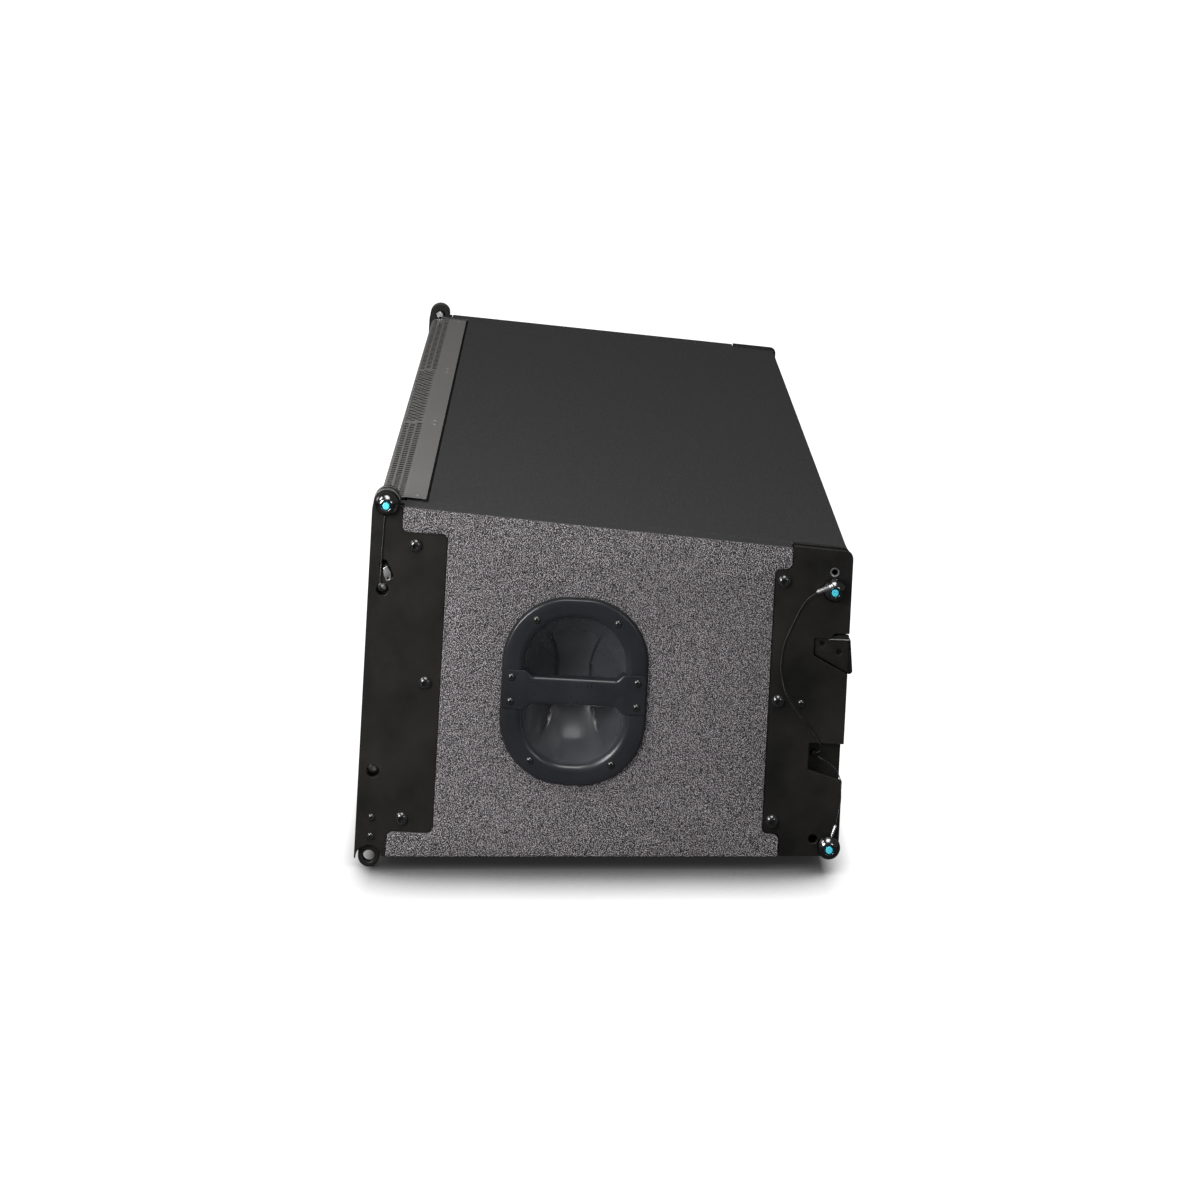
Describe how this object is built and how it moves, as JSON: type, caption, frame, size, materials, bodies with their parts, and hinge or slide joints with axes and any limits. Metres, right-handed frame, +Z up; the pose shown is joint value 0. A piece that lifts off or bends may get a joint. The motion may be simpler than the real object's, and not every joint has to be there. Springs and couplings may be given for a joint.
{
  "type": "line array speaker",
  "caption": "Tapered two-way line array loudspeaker cabinet with folded perforated grille, recessed side handles and steel side rigging held by quick-release pins.",
  "frame": {"origin": "middle of the bottom panel's outer face, between the two sides and halfway along the depth", "axes": "+X across the width towards the right side seen from the front's rear, -Y towards the grille, +Z up with the bottom panel lying flat"},
  "size_m": [1.158, 0.5158, 0.3917],
  "materials": {
    "textured_paint": "coarse textured hard paint over birch plywood",
    "painted_panel": "fine textured hard paint over birch plywood",
    "raw_wood": "plywood stained black",
    "grille_steel": "powder-coated perforated steel",
    "foam": "open-cell foam",
    "black_screw": "black oxide",
    "rigging_steel": "satin black powder coat",
    "pin_steel": "polished dark plating",
    "button_blue": "anodised light blue",
    "wire_rope": "stranded steel wire",
    "handle_plastic": "satin moulded nylon",
    "basket_alloy": "black painted casting",
    "cone_paper": "treated paper pulp",
    "surround_rubber": "coated cloth roll",
    "horn_plastic": "moulded",
    "board": "circuit board",
    "input_plate": "satin black",
    "socket_plastic": "moulded"
  },
  "bodies": {
    "cabinet": {"back_panel": "painted_panel", "baffle": "raw_wood", "bottom_panel": "painted_panel", "chamber_dividers": "raw_wood", "compression_drivers": "basket_alloy", "connector_sockets": "socket_plastic", "crossover_board": "board", "damping_foam": "foam", "driver_screws": "black_screw", "front_battens": "raw_wood", "front_inner_plate_left": "rigging_steel", "front_inner_plate_right": "rigging_steel", "front_plate_left": "rigging_steel", "front_plate_right": "rigging_steel", "front_tongue_left": "rigging_steel", "front_tongue_right": "rigging_steel", "grille_center": "grille_steel", "grille_foam": "foam", "grille_left": "grille_steel", "grille_right": "grille_steel", "grille_screws": "black_screw", "handle_bar_left": "handle_plastic", "handle_bar_right": "handle_plastic", "handle_cup_left": "handle_plastic", "handle_cup_right": "handle_plastic", "handle_screws": "black_screw", "hf_horn": "horn_plastic", "input_panel": "input_plate", "lanyards": "wire_rope", "plate_bolts": "black_screw", "rear_inner_plate_left": "rigging_steel", "rear_inner_plate_right": "rigging_steel", "rear_plate_left": "rigging_steel", "rear_plate_right": "rigging_steel", "rigging_screws": "black_screw", "rigging_spacers": "rigging_steel", "side_panel_left": "textured_paint", "side_panel_right": "textured_paint", "top_panel": "painted_panel", "woofer_basket_left": "basket_alloy", "woofer_basket_right": "basket_alloy", "woofer_magnets": "basket_alloy", "woofer_surround_left": "surround_rubber", "woofer_surround_right": "surround_rubber"},
    "pin_front_right_body": {"pin_front_right": "pin_steel"},
    "button_front_right_body": {"button_front_right": "button_blue"},
    "pin_rear_top_right_body": {"pin_rear_top_right": "pin_steel"},
    "button_rear_top_right_body": {"button_rear_top_right": "button_blue"},
    "pin_rear_bottom_right_body": {"pin_rear_bottom_right": "pin_steel"},
    "button_rear_bottom_right_body": {"button_rear_bottom_right": "button_blue"},
    "rear_arm_right_body": {"rear_arm_right": "rigging_steel"},
    "woofer_cone_right_body": {"woofer_cone_right": "cone_paper"},
    "pin_front_left_body": {"pin_front_left": "pin_steel"},
    "button_front_left_body": {"button_front_left": "button_blue"},
    "pin_rear_top_left_body": {"pin_rear_top_left": "pin_steel"},
    "button_rear_top_left_body": {"button_rear_top_left": "button_blue"},
    "pin_rear_bottom_left_body": {"pin_rear_bottom_left": "pin_steel"},
    "button_rear_bottom_left_body": {"button_rear_bottom_left": "button_blue"},
    "rear_arm_left_body": {"rear_arm_left": "rigging_steel"},
    "woofer_cone_left_body": {"woofer_cone_left": "cone_paper"}
  },
  "joints": [
    {"name": "pin_front_right_pull", "type": "slide", "parent": "cabinet", "child": "pin_front_right_body", "axis": [1, 0, 0], "range_m": [0, 0.045]},
    {"name": "button_front_right_press", "type": "slide", "parent": "pin_front_right_body", "child": "button_front_right_body", "axis": [-1, 0, 0], "range_m": [0, 0.003]},
    {"name": "pin_rear_top_right_pull", "type": "slide", "parent": "cabinet", "child": "pin_rear_top_right_body", "axis": [1, 0, 0], "range_m": [0, 0.045]},
    {"name": "button_rear_top_right_press", "type": "slide", "parent": "pin_rear_top_right_body", "child": "button_rear_top_right_body", "axis": [-1, 0, 0], "range_m": [0, 0.003]},
    {"name": "pin_rear_bottom_right_pull", "type": "slide", "parent": "cabinet", "child": "pin_rear_bottom_right_body", "axis": [1, 0, 0], "range_m": [0, 0.045]},
    {"name": "button_rear_bottom_right_press", "type": "slide", "parent": "pin_rear_bottom_right_body", "child": "button_rear_bottom_right_body", "axis": [-1, 0, 0], "range_m": [0, 0.003]},
    {"name": "rear_arm_right_lift", "type": "slide", "parent": "cabinet", "child": "rear_arm_right_body", "axis": [0, 0.0523, 0.9986], "range_m": [0, 0.086]},
    {"name": "woofer_cone_right_stroke", "type": "slide", "parent": "cabinet", "child": "woofer_cone_right_body", "axis": [0, 0.9986, -0.0523], "range_m": [-0.006, 0.006]},
    {"name": "pin_front_left_pull", "type": "slide", "parent": "cabinet", "child": "pin_front_left_body", "axis": [-1, 0, 0], "range_m": [0, 0.045]},
    {"name": "button_front_left_press", "type": "slide", "parent": "pin_front_left_body", "child": "button_front_left_body", "axis": [1, 0, 0], "range_m": [0, 0.003]},
    {"name": "pin_rear_top_left_pull", "type": "slide", "parent": "cabinet", "child": "pin_rear_top_left_body", "axis": [-1, 0, 0], "range_m": [0, 0.045]},
    {"name": "button_rear_top_left_press", "type": "slide", "parent": "pin_rear_top_left_body", "child": "button_rear_top_left_body", "axis": [1, 0, 0], "range_m": [0, 0.003]},
    {"name": "pin_rear_bottom_left_pull", "type": "slide", "parent": "cabinet", "child": "pin_rear_bottom_left_body", "axis": [-1, 0, 0], "range_m": [0, 0.045]},
    {"name": "button_rear_bottom_left_press", "type": "slide", "parent": "pin_rear_bottom_left_body", "child": "button_rear_bottom_left_body", "axis": [1, 0, 0], "range_m": [0, 0.003]},
    {"name": "rear_arm_left_lift", "type": "slide", "parent": "cabinet", "child": "rear_arm_left_body", "axis": [0, 0.0523, 0.9986], "range_m": [0, 0.086]},
    {"name": "woofer_cone_left_stroke", "type": "slide", "parent": "cabinet", "child": "woofer_cone_left_body", "axis": [0, 0.9986, -0.0523], "range_m": [-0.006, 0.006]}
  ]
}
